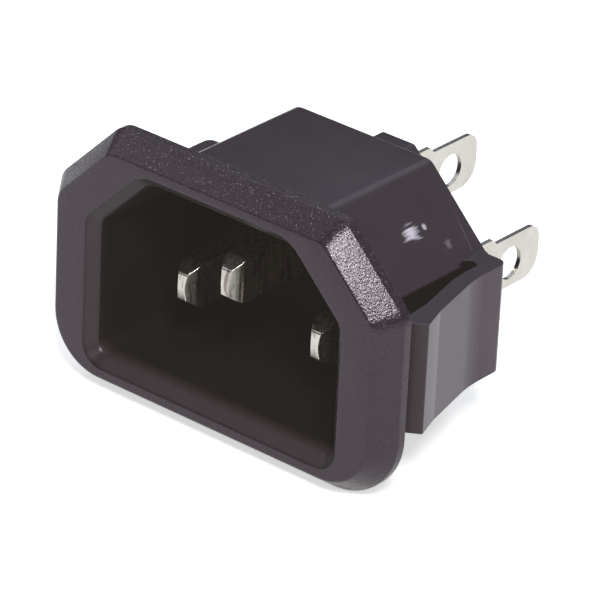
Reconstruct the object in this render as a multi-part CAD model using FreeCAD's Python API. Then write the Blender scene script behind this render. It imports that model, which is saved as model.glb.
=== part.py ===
import FreeCAD, Part

import math
import os

# Panel inlet socket for a detachable mains lead, pressed into a panel from the front.
# Millimetres. +X is to the right seen from the front, +Y runs back into the equipment, +Z is up.
# The origin is the centre of the flange's rear face, which lies on the front of the panel.

# Mouth and cavity that take the mating connector
MOUTH_WIDTH = 24.5
MOUTH_HEIGHT = 16.5
MOUTH_CHAMFER = 5.0
MOUTH_CORNER_R = 1.0
MOUTH_TOP_R = 2.0
MOUTH_SIDE_R = 1.0
LEAD_IN_WIDTH = 1.1
LEAD_IN_DEPTH = 1.05
CAVITY_DEPTH = 16.6

# Flange in front of the panel
FLANGE_WIDTH = 35.8
FLANGE_HEIGHT = 23.3
FLANGE_CHAMFER = 6.3
FLANGE_THICKNESS = 2.9
FLANGE_BOTTOM_R = 6.2
FLANGE_TOP_R = 2.0
RIM_THICKNESS = 0.85
BEVEL_WIDTH = 1.5
BEVEL_EDGE_R = 0.35

# Body behind the panel
SIDE_WALL = 0.9
TOP_WALL = 1.4
REAR_WALL = 1.8
BODY_WIDTH = MOUTH_WIDTH + 2 * SIDE_WALL
BODY_HEIGHT = MOUTH_HEIGHT + 2 * TOP_WALL
BODY_DEPTH = CAVITY_DEPTH - FLANGE_THICKNESS + REAR_WALL
BODY_CHAMFER = 6.2
BODY_BOTTOM_R = 3.0
BODY_TOP_R = 1.2
BODY_SIDE_R = 0.4
BODY_REAR_R = 0.35
SHOULDER_TAPER = 1.8
SHOULDER_DROP = 0.12

# Snap wings moulded with the body, one on each side
WING_TOP = 3.95
WING_BOTTOM = -5.75
WING_CROWN_REACH = 4.85
WING_CROWN_Y = 2.0
WING_TIP_Y = 0.75
WING_RAMP_ANGLE = 32.0
WING_LIP_LENGTH = 2.6
WING_LIP_ANGLE = 19.0
WING_LEAF_ANGLE = 13.7
WING_BACK_REACH = 2.5
WING_BACK_SETBACK = 0.85
WING_CROWN_R = 0.15
WING_HEEL_R = 0.7
WING_BEND_R = 12.0
WING_WALL = 1.3
WING_KNEE_WALL = 1.5
WING_SLOT_END_R = 0.5
WING_SLOT_BODY_R = 0.6
WING_ROOT_LENGTH = 1.95
WING_ROOT_R = 0.6

# Towers behind the body that hold the contact tails
EARTH_TOWER_TOP = 7.6
EARTH_TOWER_BOTTOM = -1.3
EARTH_TOWER_WIDTH = 6.6
EARTH_TOWER_CHAMFER = 1.65
EARTH_TOWER_LENGTH = 4.5
POWER_TOWER_WIDTH = 4.0
POWER_TOWER_WALL = 0.65
POWER_TOWER_LENGTH = 2.0
TOWER_R = 0.4

# Contacts: a flat pin in front, a thinner solder tail behind
PIN_PITCH = 14.0
PIN_OFFSET_Z = 2.0
PIN_THICKNESS = 2.0
PIN_HEIGHT = 4.0
PIN_EDGE_R = 0.3
PIN_NOSE_LENGTH = 1.5
PIN_NOSE_HEIGHT = 2.4
PIN_NOSE_R = 0.35
PIN_NOSE_CROWN = 0.2
PIN_NOSE_CROWN_R = 3.0
PIN_NOSE_THICKNESS = 0.7
PIN_NOSE_SIDE_LENGTH = 1.15
PIN_NOSE_SIDE_R = 1.5
POWER_PIN_SETBACK = 4.55
EARTH_PIN_LEAD = 2.9
TAIL_THICKNESS = 0.4
TAIL_HEIGHT = 4.6
TAIL_LENGTH = 14.7
TAIL_ROOT_LENGTH = 8.4
TAIL_END_Y = BODY_DEPTH + TAIL_LENGTH
TAIL_SHOULDER_Y = BODY_DEPTH + TAIL_ROOT_LENGTH
TAIL_SHOULDER_STEP = 0.55
TAIL_UPPER_R = 1.3
TAIL_LOWER_R = 2.0
EARTH_TAIL_Z = 2.5
POWER_TAIL_Z = -3.4
EYE_R = 1.45
EYE_DROP = 0.15
EARTH_EYE_FROM_END = 3.45
POWER_EYE_FROM_END = 3.8
FIT_CLEARANCE = 0.05


def vec(x, y, z):
    return FreeCAD.Vector(x, y, z)


def rounded_wire(corners):
    """Closed planar wire through (point, radius) corners, each corner a tangent arc."""
    edges = []
    ends = []
    for i, (corner, radius) in enumerate(corners):
        back = corners[i - 1][0].sub(corner).normalize()
        ahead = corners[(i + 1) % len(corners)][0].sub(corner).normalize()
        if radius == 0:
            ends.append((corner, corner))
            continue
        half = back.getAngle(ahead) / 2
        reach = radius / math.tan(half)
        start = corner + back * reach
        end = corner + ahead * reach
        inward = (back + ahead).normalize()
        middle = corner + inward * (radius / math.sin(half) - radius)
        edges.append(Part.Arc(start, middle, end).toShape())
        ends.append((start, end))
    for i in range(len(ends)):
        start = ends[i - 1][1]
        end = ends[i][0]
        if start.distanceToPoint(end) > 1e-6:
            edges.append(Part.makeLine(start, end))
    return Part.Wire(Part.__sortEdges__(edges))


def inlet_wire(y, width, height, chamfer, top_r, side_r, bottom_r, grow=0.0):
    """The inlet's outline at depth y: a rectangle with its two upper corners cut off."""
    half_w = width / 2 + grow
    top = height / 2 + grow
    cut = chamfer + grow * (2 - math.sqrt(2))
    right = [
        (half_w - cut, top, top_r),
        (half_w, top - cut, side_r),
        (half_w, -top, bottom_r),
    ]
    left = [(-x, z, r) for x, z, r in reversed(right)]
    return rounded_wire([(vec(x, y, z), r) for x, z, r in right + left])


def prism(wire, direction):
    return Part.Face(wire).extrude(direction)


def block(x, y, z):
    """A box between the low and high values of each axis."""
    size = [high - low for low, high in (x, y, z)]
    return Part.makeBox(*size, vec(x[0], y[0], z[0]))


def edges_where(shape, test):
    """The shape's edges whose every vertex passes the test."""
    return [e for e in shape.Edges if all(test(v.Point) for v in e.Vertexes)]


def flange():
    outline = (FLANGE_WIDTH, FLANGE_HEIGHT, FLANGE_CHAMFER)
    front = -FLANGE_THICKNESS
    rim = inlet_wire(0, *outline, FLANGE_TOP_R, FLANGE_TOP_R, FLANGE_BOTTOM_R)
    bevel_back = inlet_wire(-RIM_THICKNESS, *outline, FLANGE_TOP_R, FLANGE_TOP_R, FLANGE_BOTTOM_R)
    bevel_front = inlet_wire(
        front,
        *outline,
        FLANGE_TOP_R,
        FLANGE_TOP_R,
        FLANGE_BOTTOM_R - BEVEL_WIDTH,
        grow=-BEVEL_WIDTH,
    )
    plate = prism(rim, vec(0, -RIM_THICKNESS, 0))
    plate = plate.fuse(Part.makeLoft([bevel_back, bevel_front], True, True)).removeSplitter()
    soft = edges_where(plate, lambda p: abs(p.y + RIM_THICKNESS) < 1e-6)
    soft += edges_where(plate, lambda p: abs(p.y - front) < 1e-6)
    return plate.makeFillet(BEVEL_EDGE_R, soft)


def body():
    wire = inlet_wire(0, BODY_WIDTH, BODY_HEIGHT, BODY_CHAMFER, BODY_TOP_R, BODY_SIDE_R, BODY_BOTTOM_R)
    shell = prism(wire, vec(0, BODY_DEPTH, 0))
    rear = edges_where(shell, lambda p: abs(p.y - BODY_DEPTH) < 1e-6)
    shell = shell.makeFillet(BODY_REAR_R, rear)
    for side in (1, -1):
        shell = shell.cut(shoulder_taper(side))
    return shell


def shoulder_taper(side):
    """A thin wedge off the rear of a sloping shoulder, widest at the shoulder's lower edge."""
    half_w = BODY_WIDTH / 2
    top = BODY_HEIGHT / 2
    upper = vec(half_w - BODY_CHAMFER, BODY_DEPTH, top)
    lower = vec(half_w, BODY_DEPTH, top - BODY_CHAMFER)
    out = vec(1, 0, 1).normalize()
    start = lower - vec(0, SHOULDER_TAPER, 0)
    sunk = lower - out * SHOULDER_DROP
    faces = [
        [upper, start, sunk],
        [upper, start, sunk + out],
        [upper, sunk, sunk + out],
        [start, sunk, sunk + out],
    ]
    shell = Part.Shell([Part.Face(Part.makePolygon(f + [f[0]])) for f in faces])
    wedge = Part.Solid(shell)
    if wedge.Volume < 0:
        wedge.reverse()
    return wedge if side > 0 else wedge.mirror(vec(0, 0, 0), vec(1, 0, 0))


def wing(side):
    """A snap wing seen from above: it leaves the body at the rear and flares out towards the panel."""
    lip = math.radians(WING_LIP_ANGLE)
    leaf = math.tan(math.radians(WING_LEAF_ANGLE))
    ramp = math.tan(math.radians(WING_RAMP_ANGLE))
    half_w = BODY_WIDTH / 2
    crown_x = half_w + WING_CROWN_REACH
    back_x = half_w + WING_BACK_REACH
    back_y = BODY_DEPTH - WING_BACK_SETBACK
    knee_x = crown_x - WING_LIP_LENGTH * math.sin(lip)
    knee_y = WING_CROWN_Y + WING_LIP_LENGTH * math.cos(lip)
    bend_y = knee_y + (knee_x - back_x) / leaf
    tip_x = crown_x - (WING_CROWN_Y - WING_TIP_Y) / ramp
    inner_x = back_x - WING_WALL
    slot_end = back_y - WING_ROOT_LENGTH
    inner_knee_x = knee_x - WING_KNEE_WALL
    inner_bend_y = knee_y + (inner_knee_x - inner_x) / leaf
    corners = [
        (tip_x, WING_TIP_Y, 0),
        (crown_x, WING_CROWN_Y, WING_CROWN_R),
        (knee_x, knee_y, 0),
        (back_x, bend_y, WING_BEND_R),
        (back_x, back_y, WING_HEEL_R),
        (half_w + WING_ROOT_R, back_y, WING_ROOT_R),
        (half_w - WING_ROOT_R, BODY_DEPTH - BODY_REAR_R, 0),
        (half_w, slot_end - WING_SLOT_BODY_R, 0),
        (half_w, slot_end, WING_SLOT_BODY_R),
        (inner_x, slot_end, WING_SLOT_END_R),
        (inner_x, inner_bend_y, WING_BEND_R),
        (inner_knee_x, knee_y, 0),
    ]
    wire = rounded_wire([(vec(side * x, y, WING_BOTTOM), r) for x, y, r in corners])
    return prism(wire, vec(0, 0, WING_TOP - WING_BOTTOM))


def earth_tower():
    half_w = EARTH_TOWER_WIDTH / 2
    cut = EARTH_TOWER_CHAMFER
    right = [
        (half_w - cut, EARTH_TOWER_TOP, TOWER_R),
        (half_w, EARTH_TOWER_TOP - cut, TOWER_R),
        (half_w, EARTH_TOWER_BOTTOM, TOWER_R),
    ]
    left = [(-x, z, r) for x, z, r in reversed(right)]
    wire = rounded_wire([(vec(x, BODY_DEPTH, z), r) for x, z, r in right + left])
    tower = prism(wire, vec(0, EARTH_TOWER_LENGTH, 0))
    rear = edges_where(tower, lambda p: p.y > BODY_DEPTH + EARTH_TOWER_LENGTH / 2)
    return tower.makeFillet(TOWER_R / 2, rear)


def power_tower(x):
    half_w = POWER_TOWER_WIDTH / 2
    top = tail_top(POWER_TAIL_Z) + TAIL_SHOULDER_STEP + POWER_TOWER_WALL
    bottom = POWER_TAIL_Z - TAIL_HEIGHT / 2 - 2 * POWER_TOWER_WALL
    corners = [(x + half_w, top), (x + half_w, bottom), (x - half_w, bottom), (x - half_w, top)]
    wire = rounded_wire([(vec(cx, BODY_DEPTH, cz), TOWER_R) for cx, cz in corners])
    tower = prism(wire, vec(0, POWER_TOWER_LENGTH, 0))
    rear = edges_where(tower, lambda p: p.y > BODY_DEPTH + POWER_TOWER_LENGTH / 2)
    return tower.makeFillet(TOWER_R / 2, rear)


def cavity():
    """The hollow for the connector, with its sloping lead-in at the front."""
    outline = (MOUTH_WIDTH, MOUTH_HEIGHT, MOUTH_CHAMFER)
    radii = (MOUTH_TOP_R, MOUTH_SIDE_R, MOUTH_CORNER_R)
    wide_radii = [r + LEAD_IN_WIDTH for r in radii]
    front = -FLANGE_THICKNESS
    throat = inlet_wire(front + LEAD_IN_DEPTH, *outline, *radii)
    mouth = inlet_wire(front, *outline, *wide_radii, grow=LEAD_IN_WIDTH)
    bore = prism(throat, vec(0, CAVITY_DEPTH - LEAD_IN_DEPTH, 0))
    return bore.fuse(Part.makeLoft([throat, mouth], True, True))


def contact_passage(x, pin_z, tail_z, tower_length):
    """The hole for a pin through the rear wall and the slot for its tail through the tower."""
    gap = FIT_CLEARANCE
    half_pin = PIN_THICKNESS / 2 + gap
    half_tail = TAIL_THICKNESS / 2 + gap
    floor = CAVITY_DEPTH - FLANGE_THICKNESS
    hole = block(
        (x - half_pin, x + half_pin),
        (floor - gap, BODY_DEPTH),
        (pin_z - PIN_HEIGHT / 2 - gap, pin_z + PIN_HEIGHT / 2 + gap),
    )
    slot = block(
        (x - half_tail, x + half_tail),
        (BODY_DEPTH, BODY_DEPTH + tower_length + gap),
        (tail_z - TAIL_HEIGHT / 2 - gap, tail_top(tail_z) + TAIL_SHOULDER_STEP + gap),
    )
    return hole.fuse(slot)


def housing():
    shape = flange().fuse(body())
    shape = shape.fuse([wing(1), wing(-1)])
    shape = shape.fuse(earth_tower())
    for x in (-PIN_PITCH / 2, PIN_PITCH / 2):
        shape = shape.fuse(power_tower(x))
    shape = shape.cut(cavity())
    shape = shape.cut(contact_passage(0, PIN_OFFSET_Z, EARTH_TAIL_Z, EARTH_TOWER_LENGTH))
    for x in (-PIN_PITCH / 2, PIN_PITCH / 2):
        shape = shape.cut(contact_passage(x, -PIN_OFFSET_Z, POWER_TAIL_Z, POWER_TOWER_LENGTH))
    return shape.removeSplitter()


def tail_top(tail_z):
    return tail_z + TAIL_HEIGHT / 2


def pin(x, z, tip_y):
    """The flat pin, from its nose to the rear of the wall it stands in.

    Seen from the side the nose is slightly crowned between its two slopes. Its flanks are shorter.
    """
    half_t = PIN_THICKNESS / 2
    half_h = PIN_HEIGHT / 2
    tip_t = PIN_NOSE_THICKNESS / 2
    tip_h = PIN_NOSE_HEIGHT / 2
    front = [(-half_t, -half_h), (half_t, -half_h), (half_t, half_h), (-half_t, half_h)]
    above = [
        (-half_t, BODY_DEPTH, 0),
        (-half_t, tip_y + PIN_NOSE_SIDE_LENGTH, PIN_NOSE_SIDE_R),
        (-tip_t, tip_y, 0),
        (tip_t, tip_y, 0),
        (half_t, tip_y + PIN_NOSE_SIDE_LENGTH, PIN_NOSE_SIDE_R),
        (half_t, BODY_DEPTH, 0),
    ]
    beside = [
        (BODY_DEPTH, -half_h, 0),
        (tip_y + PIN_NOSE_LENGTH, -half_h, 0),
        (tip_y + PIN_NOSE_CROWN, -tip_h, PIN_NOSE_R),
        (tip_y, 0, PIN_NOSE_CROWN_R),
        (tip_y + PIN_NOSE_CROWN, tip_h, PIN_NOSE_R),
        (tip_y + PIN_NOSE_LENGTH, half_h, 0),
        (BODY_DEPTH, half_h, 0),
    ]
    section = rounded_wire([(vec(x + dx, tip_y, z + dz), PIN_EDGE_R) for dx, dz in front])
    plan = rounded_wire([(vec(x + dx, y, z - half_h), r) for dx, y, r in above])
    side = rounded_wire([(vec(x - half_t, y, z + dz), r) for y, dz, r in beside])
    shape = prism(section, vec(0, BODY_DEPTH - tip_y, 0))
    shape = shape.common(prism(plan, vec(0, 0, PIN_HEIGHT)))
    return shape.common(prism(side, vec(PIN_THICKNESS, 0, 0)))


def tail(x, z, eye_from_end):
    """The solder tail: a broad root, a shoulder, and a rounded blade with an eye for the wire."""
    top = tail_top(z)
    bottom = z - TAIL_HEIGHT / 2
    root_top = top + TAIL_SHOULDER_STEP
    blade_y = TAIL_SHOULDER_Y + TAIL_SHOULDER_STEP
    corners = [
        (BODY_DEPTH, root_top, 0),
        (TAIL_SHOULDER_Y, root_top, 0),
        (blade_y, top, 0),
        (TAIL_END_Y, top, TAIL_UPPER_R),
        (TAIL_END_Y, bottom, TAIL_LOWER_R),
        (BODY_DEPTH, bottom, 0),
    ]
    left = x - TAIL_THICKNESS / 2
    wire = rounded_wire([(vec(left, cy, cz), r) for cy, cz, r in corners])
    blade = prism(wire, vec(TAIL_THICKNESS, 0, 0))
    eye_start = vec(left, TAIL_END_Y - eye_from_end, z - EYE_DROP)
    return blade.cut(Part.makeCylinder(EYE_R, TAIL_THICKNESS, eye_start, vec(1, 0, 0)))


def earth_contact():
    tip_y = POWER_PIN_SETBACK - EARTH_PIN_LEAD - FLANGE_THICKNESS
    shape = pin(0, PIN_OFFSET_Z, tip_y).fuse(tail(0, EARTH_TAIL_Z, EARTH_EYE_FROM_END))
    return shape.removeSplitter()


def power_contact(x):
    tip_y = POWER_PIN_SETBACK - FLANGE_THICKNESS
    shape = pin(x, -PIN_OFFSET_Z, tip_y).fuse(tail(x, POWER_TAIL_Z, POWER_EYE_FROM_END))
    return shape.removeSplitter()


def main():
    nodes = {
        "housing": housing(),
        "earth_contact": earth_contact(),
        "line_contact": power_contact(-PIN_PITCH / 2),
        "neutral_contact": power_contact(PIN_PITCH / 2),
    }
    os.makedirs("parts", exist_ok=True)
    for name, shape in nodes.items():
        shape.exportStep(f"parts/{name}.step")


main()
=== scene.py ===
import math

import bmesh
import bpy
from mathutils import Euler, Matrix, Vector


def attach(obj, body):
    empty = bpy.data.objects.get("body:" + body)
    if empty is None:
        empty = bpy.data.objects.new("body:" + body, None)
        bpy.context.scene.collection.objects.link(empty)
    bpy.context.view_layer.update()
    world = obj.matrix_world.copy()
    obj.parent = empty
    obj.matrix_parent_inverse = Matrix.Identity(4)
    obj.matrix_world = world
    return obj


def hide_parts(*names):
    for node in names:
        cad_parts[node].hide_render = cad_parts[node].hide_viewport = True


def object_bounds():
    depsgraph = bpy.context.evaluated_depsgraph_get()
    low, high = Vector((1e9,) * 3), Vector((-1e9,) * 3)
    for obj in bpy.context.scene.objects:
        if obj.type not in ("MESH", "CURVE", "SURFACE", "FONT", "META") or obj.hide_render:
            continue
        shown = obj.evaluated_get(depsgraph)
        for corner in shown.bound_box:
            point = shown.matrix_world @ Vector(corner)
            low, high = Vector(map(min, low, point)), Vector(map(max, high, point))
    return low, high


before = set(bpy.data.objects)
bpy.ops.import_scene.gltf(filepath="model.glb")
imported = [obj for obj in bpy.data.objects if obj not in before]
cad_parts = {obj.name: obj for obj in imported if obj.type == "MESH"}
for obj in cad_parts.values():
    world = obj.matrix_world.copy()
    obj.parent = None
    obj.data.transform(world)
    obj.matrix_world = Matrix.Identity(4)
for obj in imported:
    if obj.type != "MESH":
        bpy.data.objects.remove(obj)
cad_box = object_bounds()

MM = 0.001

# Camera: a long lens from the front right, above, held slightly out of level
CAMERA_AZIMUTH = 39.25
CAMERA_ELEVATION = 27.54
CAMERA_ROLL = 2.74
CAMERA_DISTANCE = 374.3 * MM
CAMERA_AIM = Vector((7.92, -1.56, 3.73)) * MM
CAMERA_NEAREST = 10 * MM
LENS_MM = 291.4

# Lamps: direction from the part, distance and width in metres, power in watts, colour.
# One small key lamp from the right, a broad one overhead, a weak fill, and a faint one behind.
LAMPS = {
    "key_lamp": (Vector((0.515, -0.49, 0.715)), 0.6, 0.15, 2.8, (1.0, 1.0, 1.0)),
    "overhead_lamp": (Vector((-0.25, 0.35, 0.9)), 0.7, 0.9, 1.5, (0.84, 0.9, 1.0)),
    "fill_lamp": (Vector((-0.75, -0.35, 0.56)), 0.9, 0.7, 1.05, (1.0, 1.0, 1.0)),
    "back_lamp": (Vector((0.46, 0.68, 0.57)), 0.7, 0.5, 0.15, (1.0, 1.0, 1.0)),
}

# A dim room round a white table, whose glow is seen only by the lens and in mirror-like surfaces
ROOM_COLOR = (0.86, 0.92, 1.0)
ROOM_STRENGTH = 0.13
WHITE = (1.0, 1.0, 1.0)
BLACK = (0.0, 0.0, 0.0)
TABLE_RADIUS = 1.5
TABLE_SIDES = 96
TABLE_COLOR = (0.9, 0.9, 0.9)
TABLE_ROUGHNESS = 0.9
TABLE_SHINE = 0.1
TABLE_GLOW = 0.4
TABLE_GLOW_TO_LENS = 0.62

# Where the housing's finishes meet: the mouth, its throat behind the lead-in, and the cavity
MOUTH_HALF_WIDTH = 13.4 * MM
MOUTH_HALF_HEIGHT = 9.4 * MM
THROAT_Y = -1.84 * MM
CAVITY_HALF_WIDTH = 12.3 * MM
CAVITY_HALF_HEIGHT = 8.3 * MM
CAVITY_FLOOR_Y = 13.72 * MM

# The slot between each wing and the body
SLOT_BOTTOM_Z = -5.75 * MM
SLOT_TOP_Z = 3.96 * MM
SLOT_FLAT_END_Y = 12.1 * MM
SLOT_END_Y = 12.7 * MM
BODY_SIDE_X = 13.15 * MM
WING_RAMP_Y = 2.0 * MM

# How near counts as touching, as lying in a plane, and as lying beside the front-to-back axis
WELD = 0.001 * MM
NEAR = 0.05 * MM
NEAR_AXIS = 0.1 * MM

# The housing's finishes, in the order of its material slots; the cavity's is painted shade for cavity and
# slots
BODY, GRAINED, MOUTH, CAVITY_SHADE, WING = range(5)

# Smooth plastics: darkest and lightest colour, least and most roughness, shine, painted glow.
# Cavity and slots are painted near-black as shade, with a faint painted glow for the light that dark walls
# hand round, too faint to follow from wall to wall.
BODY_SKIN = ((0.041, 0.026, 0.036), (0.047, 0.031, 0.042), (0.22, 0.27), 0.65, BLACK)
MOUTH_SKIN = ((0.040, 0.027, 0.030), (0.046, 0.032, 0.035), (0.32, 0.42), 0.35, BLACK)
CAVITY_PAINTED_GLOW = (0.0165, 0.0135, 0.0115)
CAVITY_SHADE_SKIN = ((0.008, 0.0065, 0.006), (0.011, 0.009, 0.008), (0.5, 0.6), 0.06, CAVITY_PAINTED_GLOW)
WING_SKIN = ((0.045, 0.018, 0.036), (0.051, 0.023, 0.042), (0.04, 0.08), 0.42, BLACK)
RIPPLE_DEPTH = 0.006 * MM

# The flange's grained plastic, with painted glints on its highest grains and painted sparkles on the faces
# that look up
GRAINED_DARK = (0.036, 0.023, 0.030)
GRAIN_GLINT_PAINT = (0.080, 0.058, 0.074)
GRAINED_SHINE = 0.42
GRAINED_SHINE_TINT = (1.0, 0.9, 0.99)
GRAIN_DEPTH = 0.036 * MM
SPARKLE_PAINT = (0.42, 0.37, 0.46)
SPARKLE_FROM_SLOPE = 0.5
SPARKLE_TO_SLOPE = 0.8

# Painted highlights of glare marks on the right shoulder: centre and reach in millimetres, and colour
PAINTED_GLARE_MARKS = [
    (Vector((10.15, 9.2, 6.45)), Vector((0.75, 1.15, 0.75)), (0.66, 0.6, 0.7)),
    (Vector((10.25, 10.75, 6.35)), Vector((0.5, 0.32, 0.5)), (0.6, 0.55, 0.62)),
    (Vector((11.65, 12.1, 4.95)), Vector((0.5, 0.5, 0.5)), (0.18, 0.145, 0.18)),
]

# A painted highlight along a faint crease across the rear of the same shoulder: the plane that it follows,
# and where it shows
CREASE_FACING = (0.0, 0.977, -0.214)
CREASE_DISTANCE = 12.85 * MM
CREASE_HALF_WIDTH = 0.07 * MM
CREASE_FROM_X = 10.0 * MM
CREASE_FULL_X = 11.2 * MM
CREASE_ABOVE_Z = 4.0 * MM
CREASE_HIGHLIGHT_PAINT = (0.085, 0.063, 0.074)

# A fine line of painted shade round the lead-in, just inside the flange's face, standing for the shade of a
# tiny step there
LINE_FROM_Y = -2.8 * MM
LINE_TO_Y = -2.74 * MM
PAINTED_SHADE_LINE = (0.026, 0.018, 0.02)

# Painted light: the front of the cavity's floor, painted as pale as the lead-in before it where the lamps
# reach in
FLOOR_FADES_TO_Y = -0.7 * MM
FLOOR_FADES_FROM_Z = -8.0 * MM
FLOOR_FADES_TO_Z = -7.2 * MM
FLOOR_PAINTED_LIGHT = (0.04, 0.027, 0.03)

# The contacts: plating, its stains, and a faint painted glow on the pins, which end inside the housing
PLATING_DULL = (0.565, 0.535, 0.485)
PLATING_BRIGHT = (0.645, 0.62, 0.57)
STAIN = (0.24, 0.2, 0.18)
STREAK_DEPTH = 0.008 * MM
PIN_PAINTED_GLOW = (0.009, 0.0074, 0.0064)
PINS_TO_Y = 13 * MM
TAILS_FROM_Y = 14.5 * MM

# Softened edges, which a moulding and a stamping have where the solids are sharp
MOULD_EDGE = 0.09 * MM
THROAT_EDGE = 0.45 * MM
STAMPED_EDGE = 0.05 * MM
EDGE_SEGMENTS = 3
FLAT_ANGLE = math.radians(0.4)
SHARP_ANGLE = math.radians(28)
FAINT_ANGLE = math.radians(2)
BROAD_FACE = 3 * MM * MM
SOFTENED_TO_Y = 14.9 * MM


def is_socket(value):
    return isinstance(value, bpy.types.NodeSocket)


def node_of(tree, kind, inputs=None, **settings):
    """A shader node with its settings, and its inputs given as values or as sockets to link."""
    node = tree.nodes.new(kind)
    for name, value in settings.items():
        setattr(node, name, value)
    for name, value in (inputs or {}).items():
        if is_socket(value):
            tree.links.new(value, node.inputs[name])
        else:
            node.inputs[name].default_value = value
    return node


def maths(tree, operation, *values):
    """The result of a math node on its values or sockets, in order."""
    return node_of(tree, "ShaderNodeMath", dict(enumerate(values)), operation=operation).outputs[0]


def vector_maths(tree, operation, *values):
    """The node for a vector operation on its values or sockets, in order."""
    return node_of(tree, "ShaderNodeVectorMath", dict(enumerate(values)), operation=operation)


def ranged(tree, value, start, end, low=0.0, high=1.0):
    """A low value up to a start, then an even change to a high value at an end."""
    given = {"Value": value, "From Min": start, "From Max": end, "To Min": low, "To Max": high}
    return node_of(tree, "ShaderNodeMapRange", given).outputs["Result"]


def fading(tree, value, start, end):
    """1 up to a start, then an even fall to 0 at an end."""
    return ranged(tree, value, start, end, 1.0, 0.0)


def mixed(tree, mask, under, over):
    """One colour where a mask is 0 and another where it is 1, each a value or a socket."""
    under, over = (tone if is_socket(tone) else (*tone, 1.0) for tone in (under, over))
    mix = node_of(tree, "ShaderNodeMix", {"Factor": mask, 6: under, 7: over}, data_type="RGBA")
    return mix.outputs[2]


def axes_of(tree, vector):
    """A vector's parts, by the names X, Y and Z."""
    return node_of(tree, "ShaderNodeSeparateXYZ", {"Vector": vector}).outputs


def bumped(tree, height, depth):
    bump = node_of(tree, "ShaderNodeBump", {"Height": height, "Distance": depth})
    return bump.outputs["Normal"]


def effect_group(name, inputs, outputs):
    """An empty shader group with float inputs at their defaults, and float outputs."""
    group = bpy.data.node_groups.new(name, "ShaderNodeTree")
    sockets = group.interface
    sockets.new_socket("Place", in_out="INPUT", socket_type="NodeSocketVector")
    for label, value in inputs.items():
        socket = sockets.new_socket(label, in_out="INPUT", socket_type="NodeSocketFloat")
        socket.default_value = value
    for label in outputs:
        sockets.new_socket(label, in_out="OUTPUT", socket_type="NodeSocketFloat")
    given = group.nodes.new("NodeGroupInput").outputs
    result = group.nodes.new("NodeGroupOutput").inputs
    return group, given, result


def mottle_effect():
    """Slow uneven patches between two values, as a moulded or plated skin has."""
    group, given, result = effect_group("mottle", {"Scale": 300.0, "Low": 0.3, "High": 0.5}, ["Value"])
    patches = node_of(
        group,
        "ShaderNodeTexNoise",
        {"Vector": given["Place"], "Scale": given["Scale"], "Detail": 4.0, "Roughness": 0.55},
    )
    spread = ranged(group, patches.outputs["Fac"], 0.32, 0.68, given["Low"], given["High"])
    group.links.new(spread, result["Value"])
    return group


def grain_effect():
    """Spark-eroded grain: a pebbled height, and a mask of the few grains that stand highest."""
    group, given, result = effect_group("grain", {"Scale": 3000.0, "Peaks": 0.62}, ["Height", "Mask"])
    pebbles = node_of(
        group,
        "ShaderNodeTexNoise",
        {"Vector": given["Place"], "Scale": given["Scale"], "Detail": 2.0, "Roughness": 0.6},
    ).outputs["Fac"]
    group.links.new(pebbles, result["Height"])
    group.links.new(ranged(group, pebbles, given["Peaks"], 0.8), result["Mask"])
    return group


def streak_effect():
    """Fine parallel streaks along Z, as drawing and stamping leave on strip metal."""
    group, given, result = effect_group("streaks", {"Scale": 900.0}, ["Height"])
    stretched = node_of(
        group, "ShaderNodeMapping", {"Vector": given["Place"], "Scale": (1.0, 1.0, 0.12)}
    )
    lines = node_of(
        group,
        "ShaderNodeTexNoise",
        {"Vector": stretched.outputs["Vector"], "Scale": given["Scale"], "Detail": 3.0},
    )
    group.links.new(lines.outputs["Fac"], result["Height"])
    return group


MOTTLE = mottle_effect()
GRAIN = grain_effect()
STREAKS = streak_effect()


def effect(tree, group, place, **values):
    """An effect's results at a place, by name."""
    node = tree.nodes.new("ShaderNodeGroup")
    node.node_tree = group
    tree.links.new(place, node.inputs["Place"])
    for label, value in values.items():
        node.inputs[label].default_value = value
    return node.outputs


def new_material(name):
    """A material with its tree, its shader's inputs and the places that its patterns read."""
    material = bpy.data.materials.new(name)
    material.use_nodes = True
    tree = material.node_tree
    return material, tree, tree.nodes["Principled BSDF"].inputs, node_of(tree, "ShaderNodeTexCoord").outputs


def lay_on(material, make_mask, tone):
    """Lays a colour over a material's own, where the mask that make_mask draws is 1."""
    tree = material.node_tree
    color = tree.nodes["Principled BSDF"].inputs["Base Color"]
    mask = make_mask(tree, tree.nodes["Texture Coordinate"].outputs["Object"])
    tree.links.new(mixed(tree, mask, color.links[0].from_socket, tone), color)


def smooth_plastic(name, darkest, lightest, roughness, shine, painted_glow):
    """The body's, wings' and mouth's skin: the same plastic off a polished tool, which also serves,
    near-black and with a painted glow, as the painted shade of cavity and slots.
    """
    material, tree, inputs, places = new_material(name)
    place = places["Object"]
    inputs["Specular IOR Level"].default_value = shine
    inputs["Emission Color"].default_value = (*painted_glow, 1.0)
    inputs["Emission Strength"].default_value = 1.0
    tone = effect(tree, MOTTLE, place, Scale=160.0, Low=0.0, High=1.0)["Value"]
    sheen = effect(tree, MOTTLE, place, Scale=700.0, Low=roughness[0], High=roughness[1])["Value"]
    ripple = effect(tree, GRAIN, place, Scale=420.0, Peaks=0.6)["Height"]
    tree.links.new(mixed(tree, tone, darkest, lightest), inputs["Base Color"])
    tree.links.new(sheen, inputs["Roughness"])
    tree.links.new(bumped(tree, ripple, RIPPLE_DEPTH), inputs["Normal"])
    return material


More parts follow.
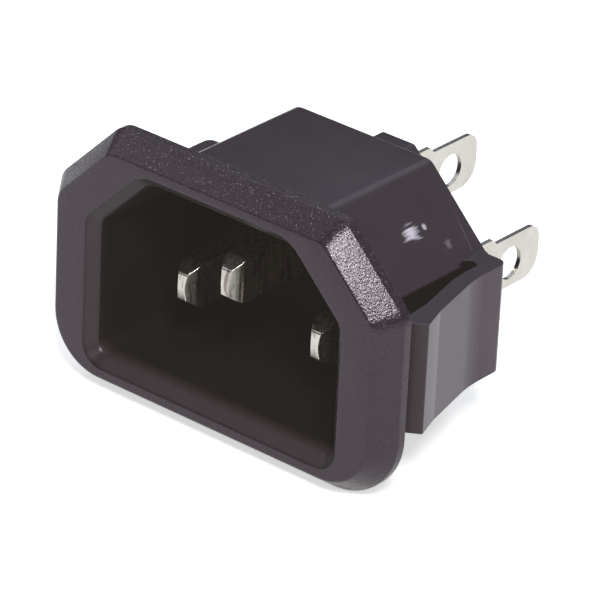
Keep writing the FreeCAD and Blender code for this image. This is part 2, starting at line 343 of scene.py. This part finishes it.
def painted_glare_mask(tree, place, center, reach):
    """1 in the middle of a small painted glare mark, torn into streaks along Y at its rim."""
    away = vector_maths(tree, "SUBTRACT", place, center).outputs[0]
    spread = vector_maths(tree, "DIVIDE", away, reach).outputs[0]
    distance = vector_maths(tree, "LENGTH", spread).outputs["Value"]
    drawn = node_of(tree, "ShaderNodeMapping", {"Vector": place, "Scale": (1.0, 0.15, 1.0)})
    torn = node_of(
        tree,
        "ShaderNodeTexNoise",
        {"Vector": drawn.outputs["Vector"], "Scale": 4000.0, "Detail": 2.0},
    )
    edge = maths(tree, "MULTIPLY_ADD", torn.outputs["Fac"], 1.6, -0.8)
    return fading(tree, maths(tree, "ADD", distance, edge), 0.25, 0.95)


def painted_crease_highlight(tree, place):
    """1 along the crease's painted highlight, which leans back as it climbs."""
    along = vector_maths(tree, "DOT_PRODUCT", place, CREASE_FACING).outputs["Value"]
    line = maths(tree, "COMPARE", along, CREASE_DISTANCE, CREASE_HALF_WIDTH)
    axes = axes_of(tree, place)
    outer = ranged(tree, axes["X"], CREASE_FROM_X, CREASE_FULL_X)
    above = maths(tree, "GREATER_THAN", axes["Z"], CREASE_ABOVE_Z)
    return maths(tree, "MULTIPLY", maths(tree, "MULTIPLY", line, outer), above)


def body_plastic():
    """The smooth plastic, with small painted glare marks and a painted highlight along a faint crease on
    the right shoulder.
    """
    material = smooth_plastic("body_plastic", *BODY_SKIN)
    for center, reach, tone in PAINTED_GLARE_MARKS:
        lay_on(material, lambda tree, place: painted_glare_mask(tree, place, center * MM, reach * MM), tone)
    lay_on(material, painted_crease_highlight, CREASE_HIGHLIGHT_PAINT)
    return material


def mouth_plastic():
    """The lead-in's plastic, with painted shade along the fine line where it meets the flange's face."""
    material = smooth_plastic("mouth_plastic", *MOUTH_SKIN)
    lay_on(
        material,
        lambda tree, place: fading(tree, axes_of(tree, place)["Y"], LINE_FROM_Y, LINE_TO_Y),
        PAINTED_SHADE_LINE,
    )
    return material


def painted_floor_light_mask(tree, place):
    """1 at the front of the cavity's floor, where light is painted in, falling to 0 behind it and up the
    walls.
    """
    axes = axes_of(tree, place)
    front = fading(tree, axes["Y"], THROAT_Y, FLOOR_FADES_TO_Y)
    low = fading(tree, axes["Z"], FLOOR_FADES_FROM_Z, FLOOR_FADES_TO_Z)
    return maths(tree, "MULTIPLY", front, low)


def cavity_painted_shade():
    """Painted shade for cavity and slots: the plastic painted nearly black, but for a painted pool of light
    at the front of the cavity's floor.
    """
    material = smooth_plastic("cavity_painted_shade", *CAVITY_SHADE_SKIN)
    # Paints light onto the front of the cavity's floor.
    lay_on(material, painted_floor_light_mask, FLOOR_PAINTED_LIGHT)
    return material


def grained_plastic():
    """The flange's skin: dark plastic with a spark-eroded grain that glitters under the key lamp, with
    painted glints and painted sparkles on it.
    """
    material, tree, inputs, places = new_material("grained_plastic")
    place = places["Object"]
    inputs["Specular IOR Level"].default_value = GRAINED_SHINE
    inputs["Specular Tint"].default_value = (*GRAINED_SHINE_TINT, 1.0)
    grain = effect(tree, GRAIN, place, Scale=5200.0, Peaks=0.58)
    specks = effect(tree, GRAIN, place, Scale=5800.0, Peaks=0.62)["Mask"]
    sheen = effect(tree, MOTTLE, place, Scale=5000.0, Low=0.14, High=0.32)["Value"]
    # Painted sparkles on the grain of faces that look up.
    slope = axes_of(tree, places["Normal"])["Z"]
    upward = ranged(tree, slope, SPARKLE_FROM_SLOPE, SPARKLE_TO_SLOPE)
    sparkled = maths(tree, "MULTIPLY", specks, upward)
    # The highest grains are painted lighter as glints.
    glinted_grain = mixed(tree, grain["Mask"], GRAINED_DARK, GRAIN_GLINT_PAINT)
    tree.links.new(mixed(tree, sparkled, glinted_grain, SPARKLE_PAINT), inputs["Base Color"])
    tree.links.new(sheen, inputs["Roughness"])
    tree.links.new(bumped(tree, grain["Height"], GRAIN_DEPTH), inputs["Normal"])
    return material


def plated_metal():
    """The contacts' dull plating over brass, streaked on the pins as the strip was when it was cut, with a
    painted glow on the pins.
    """
    material, tree, inputs, places = new_material("plated_metal")
    place = places["Object"]
    inputs["Metallic"].default_value = 1.0
    inputs["Emission Strength"].default_value = 1.0
    tone = effect(tree, MOTTLE, place, Scale=500.0, Low=0.0, High=1.0)["Value"]
    sheen = effect(tree, MOTTLE, place, Scale=1500.0, Low=0.22, High=0.28)["Value"]
    streaks = effect(tree, STREAKS, place, Scale=2600.0)["Height"]
    on_pins = fading(tree, axes_of(tree, place)["Y"], PINS_TO_Y, TAILS_FROM_Y)
    stained = maths(tree, "MULTIPLY", ranged(tree, streaks, 0.5, 0.66), on_pins)
    plating = mixed(tree, tone, PLATING_DULL, PLATING_BRIGHT)
    tree.links.new(mixed(tree, stained, plating, STAIN), inputs["Base Color"])
    # The pins get a faint painted glow inside the housing.
    tree.links.new(mixed(tree, on_pins, BLACK, PIN_PAINTED_GLOW), inputs["Emission Color"])
    tree.links.new(sheen, inputs["Roughness"])
    tree.links.new(bumped(tree, streaks, STREAK_DEPTH), inputs["Normal"])
    return material


def mark_crisp_edges(form):
    """Keeps the shading apart across sharp edges, and across faint ones between two broad faces."""
    for edge in form.edges:
        angle = abs(edge.calc_face_angle_signed(0.0))
        broad = all(face.calc_area() > BROAD_FACE for face in edge.link_faces)
        edge.smooth = angle < SHARP_ANGLE and not (broad and angle > FAINT_ANGLE)


def over_cavity(point):
    return abs(point.x) < CAVITY_HALF_WIDTH and abs(point.z) < CAVITY_HALF_HEIGHT


def mark_soft_edges(form):
    """Marks the sharp outer edges for softening, short of the rear wall and what stands on it."""
    weight = form.edges.layers.float.new("bevel_weight_edge")
    for edge in form.edges:
        middle = (edge.verts[0].co + edge.verts[1].co) / 2
        on_throat = over_cavity(middle) and abs(middle.y - THROAT_Y) < NEAR
        sharp = edge.is_manifold and edge.calc_face_angle_signed() > SHARP_ANGLE
        if sharp and middle.y < SOFTENED_TO_Y:
            edge[weight] = 1.0 if on_throat else MOULD_EDGE / THROAT_EDGE


def welded_copy(node, name, cuts=()):
    """A copy of a node's mesh with its loose triangles joined and its flat faces made whole.

    Each cut is the point nearest the origin on a plane that splits the faces it crosses.
    """
    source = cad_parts[node]
    mesh = source.data.copy()
    mesh.name = name
    mesh.materials.clear()
    form = bmesh.new()
    form.from_mesh(mesh)
    bmesh.ops.transform(form, matrix=source.matrix_world, verts=form.verts)
    bmesh.ops.remove_doubles(form, verts=form.verts, dist=WELD)
    bmesh.ops.dissolve_limit(
        form,
        angle_limit=FLAT_ANGLE,
        verts=form.verts,
        edges=form.edges,
        use_dissolve_boundaries=False,
    )
    for cut in cuts:
        everything = form.verts[:] + form.edges[:] + form.faces[:]
        bmesh.ops.bisect_plane(form, geom=everything, dist=WELD, plane_co=cut, plane_no=cut)
    for face in form.faces:
        face.smooth = True
    mark_crisp_edges(form)
    mark_soft_edges(form)
    form.to_mesh(mesh)
    form.free()
    piece = bpy.data.objects.new(name, mesh)
    bpy.context.scene.collection.objects.link(piece)
    return piece


def soften(piece, width):
    bevel = piece.modifiers.new("softened_edges", "BEVEL")
    bevel.width = width
    bevel.segments = EDGE_SEGMENTS
    bevel.limit_method = "WEIGHT"
    bevel.use_clamp_overlap = False
    bevel.harden_normals = True


def out_from_axis(face):
    """How far out a face looks from the front-to-back axis: below 0 where it looks inwards."""
    return face.normal.x * face.center.x + face.normal.z * face.center.z


def in_slot(face):
    """Whether a face lines the slot between a wing and the body."""
    middle, normal = face.center, face.normal
    along = 0 < middle.y < SLOT_END_Y + NEAR
    if not (along and SLOT_BOTTOM_Z < middle.z < SLOT_TOP_Z):
        return False
    outward = math.copysign(normal.x, normal.x * middle.x)
    on_body = abs(abs(middle.x) - BODY_SIDE_X) < NEAR and outward > 0.9
    upright = abs(middle.x) > BODY_SIDE_X - NEAR and abs(normal.z) < 0.1
    on_wing = upright and outward < 0.2 and middle.y > WING_RAMP_Y
    on_end = upright and normal.y < -0.05 and middle.y > SLOT_FLAT_END_Y
    return on_body or on_wing or on_end


def finish_index(face):
    """Which of the housing's finishes a face has, as the parts of its tool give them, but for painted
    shade: near-black plastic on cavity and slots, and the mouth's duller plastic on the wings' front ramps.
    """
    middle, normal = face.center, face.normal
    # Faces that line a slot get the cavity's near-black plastic as painted shade.
    if in_slot(face):
        return CAVITY_SHADE
    # Wing faces: the front ramp, in the flange's shadow, gets the mouth's duller plastic as painted shade.
    if middle.y > 0 and abs(middle.x) > BODY_SIDE_X + NEAR and abs(normal.z) < 0.1:
        return MOUTH if normal.y < -0.5 else WING
    if middle.y < -WELD and out_from_axis(face) > -NEAR_AXIS:
        return GRAINED
    in_mouth = abs(middle.x) < MOUTH_HALF_WIDTH and abs(middle.z) < MOUTH_HALF_HEIGHT
    if in_mouth and middle.y < THROAT_Y:
        return MOUTH
    # Inward faces of the cavity are painted near-black as shade.
    inward = out_from_axis(face) < NEAR_AXIS and normal.y < 0.5
    return CAVITY_SHADE if over_cavity(middle) and inward and middle.y < CAVITY_FLOOR_Y else BODY


def make_housing():
    cuts = (Vector((0, SLOT_FLAT_END_Y, 0)), Vector((0, 0, SLOT_BOTTOM_Z)))
    piece = welded_copy("housing", "moulded_housing", cuts)
    finishes = {
        BODY: body_plastic(),
        GRAINED: grained_plastic(),
        MOUTH: mouth_plastic(),
        CAVITY_SHADE: cavity_painted_shade(),
        WING: smooth_plastic("wing_plastic", *WING_SKIN),
    }
    for index in sorted(finishes):
        piece.data.materials.append(finishes[index])
    for face in piece.data.polygons:
        face.material_index = finish_index(face)
    soften(piece, THROAT_EDGE)
    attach(piece, "root")
    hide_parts("housing")


def make_contacts():
    plating = plated_metal()
    for side in ("earth", "line", "neutral"):
        piece = welded_copy(f"{side}_contact", f"plated_{side}_contact")
        piece.data.materials.append(plating)
        soften(piece, STAMPED_EDGE * THROAT_EDGE / MOULD_EDGE)
        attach(piece, "root")
        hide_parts(f"{side}_contact")


def table_glow(tree):
    """The table's own light: most for rays straight from the lens, less for mirror-like ones, else none."""
    path = node_of(tree, "ShaderNodeLightPath").outputs
    mirror_like = maths(tree, "MAXIMUM", path["Is Glossy Ray"], path["Is Transmission Ray"])
    mirrored = maths(tree, "MULTIPLY", mirror_like, TABLE_GLOW)
    seen = maths(tree, "MULTIPLY", path["Is Camera Ray"], TABLE_GLOW_TO_LENS)
    return maths(tree, "MAXIMUM", mirrored, seen)


def make_table():
    form = bmesh.new()
    bmesh.ops.create_circle(form, cap_ends=True, segments=TABLE_SIDES, radius=TABLE_RADIUS)
    bmesh.ops.translate(form, verts=form.verts, vec=(0, 0, cad_box[0][2]))
    mesh = bpy.data.meshes.new("table")
    form.to_mesh(mesh)
    form.free()
    table = bpy.data.objects.new("table", mesh)
    bpy.context.scene.collection.objects.link(table)
    material, tree, inputs, _ = new_material("white_table")
    inputs["Base Color"].default_value = (*TABLE_COLOR, 1.0)
    inputs["Roughness"].default_value = TABLE_ROUGHNESS
    inputs["Specular IOR Level"].default_value = TABLE_SHINE
    inputs["Emission Color"].default_value = (*WHITE, 1.0)
    tree.links.new(table_glow(tree), inputs["Emission Strength"])
    mesh.materials.append(material)


def add_lamp(name, direction, distance, size, power, color):
    lamp = bpy.data.lights.new(name, "AREA")
    lamp.shape = "DISK"
    lamp.size = size
    lamp.energy = power
    lamp.color = color
    holder = bpy.data.objects.new(name, lamp)
    holder.location = direction.normalized() * distance
    holder.rotation_euler = direction.to_track_quat("Z", "Y").to_euler()
    bpy.context.scene.collection.objects.link(holder)


def light_room():
    """The lamps, and a dim room that the lens sees as white."""
    world = bpy.data.worlds.new("room")
    world.use_nodes = True
    tree = world.node_tree
    room = tree.nodes["Background"]
    room.inputs["Color"].default_value = (*ROOM_COLOR, 1.0)
    room.inputs["Strength"].default_value = ROOM_STRENGTH
    white = node_of(tree, "ShaderNodeBackground", {"Color": (*WHITE, 1.0)})
    to_lens = node_of(tree, "ShaderNodeLightPath").outputs["Is Camera Ray"]
    both = {0: to_lens, 1: room.outputs[0], 2: white.outputs[0]}
    mix = node_of(tree, "ShaderNodeMixShader", both)
    tree.links.new(mix.outputs[0], tree.nodes["World Output"].inputs["Surface"])
    bpy.context.scene.world = world
    for name, settings in LAMPS.items():
        add_lamp(name, *settings)


def place_camera():
    lens = bpy.data.cameras.new("camera")
    lens.lens = LENS_MM
    lens.clip_start = CAMERA_NEAREST
    camera = bpy.data.objects.new("camera", lens)
    tilt, turn, roll = (
        math.radians(angle) for angle in (90 - CAMERA_ELEVATION, CAMERA_AZIMUTH, CAMERA_ROLL)
    )
    aim = Euler((tilt, 0, turn)).to_matrix() @ Matrix.Rotation(roll, 3, "Z")
    place = CAMERA_AIM + aim.col[2] * CAMERA_DISTANCE
    camera.matrix_world = Matrix.Translation(place) @ aim.to_4x4()
    bpy.context.scene.collection.objects.link(camera)
    bpy.context.scene.camera = camera


place_camera()
make_housing()
make_contacts()
make_table()
light_room()
bpy.context.scene.view_settings.view_transform = "Standard"
